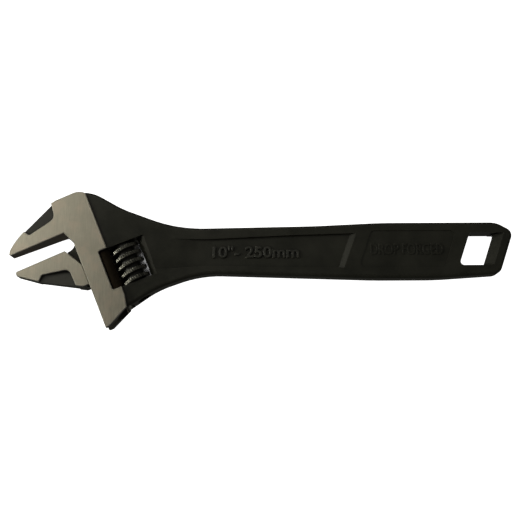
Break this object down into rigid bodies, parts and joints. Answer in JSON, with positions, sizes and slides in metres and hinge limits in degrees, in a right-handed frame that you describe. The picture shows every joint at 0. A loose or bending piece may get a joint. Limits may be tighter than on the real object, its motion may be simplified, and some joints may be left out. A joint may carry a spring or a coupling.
{
  "type": "adjustable wrench",
  "caption": "Adjustable wrench with a sliding lower jaw, knurled worm and hanging hole, black phosphate with ground bright jaw and slide faces.",
  "frame": {"origin": "centre of the bounding box's underside, with the wrench lying flat and the jaws 9 mm open", "axes": "+X along the handle towards the hanging hole, +Y towards the fixed jaw's side, +Z out of the upper flat side"},
  "size_m": [0.256, 0.0698, 0.0155],
  "materials": {
    "forging": "black phosphate, satin, ground bright on the jaw and slide faces",
    "ground_steel": "ground, fine grain",
    "worm_steel": "black oxide, bright on the knurled crests",
    "pin_steel": "turned, oiled",
    "spring_steel": "drawn wire"
  },
  "bodies": {
    "body": {"body": "forging", "worm_pin": "pin_steel", "worm_spring": "spring_steel"},
    "worm": {"worm": "worm_steel"},
    "movable_jaw": {"movable_jaw": "ground_steel"}
  },
  "joints": [
    {"name": "worm_spin", "type": "hinge", "parent": "body", "child": "worm", "pos_m": [-0.06653, -0.00168, 0.00775], "axis": [-0.3827, 0.9239, 0], "range_deg": [-768, 2229]},
    {"name": "jaw_slide", "type": "slide", "parent": "body", "child": "movable_jaw", "axis": [0.3827, -0.9239, 0], "range_m": [-0.00895, 0.026]}
  ],
  "couplings": [
    {"joint": "worm_spin", "follows": "jaw_slide", "rad_per_m": 1496}
  ]
}
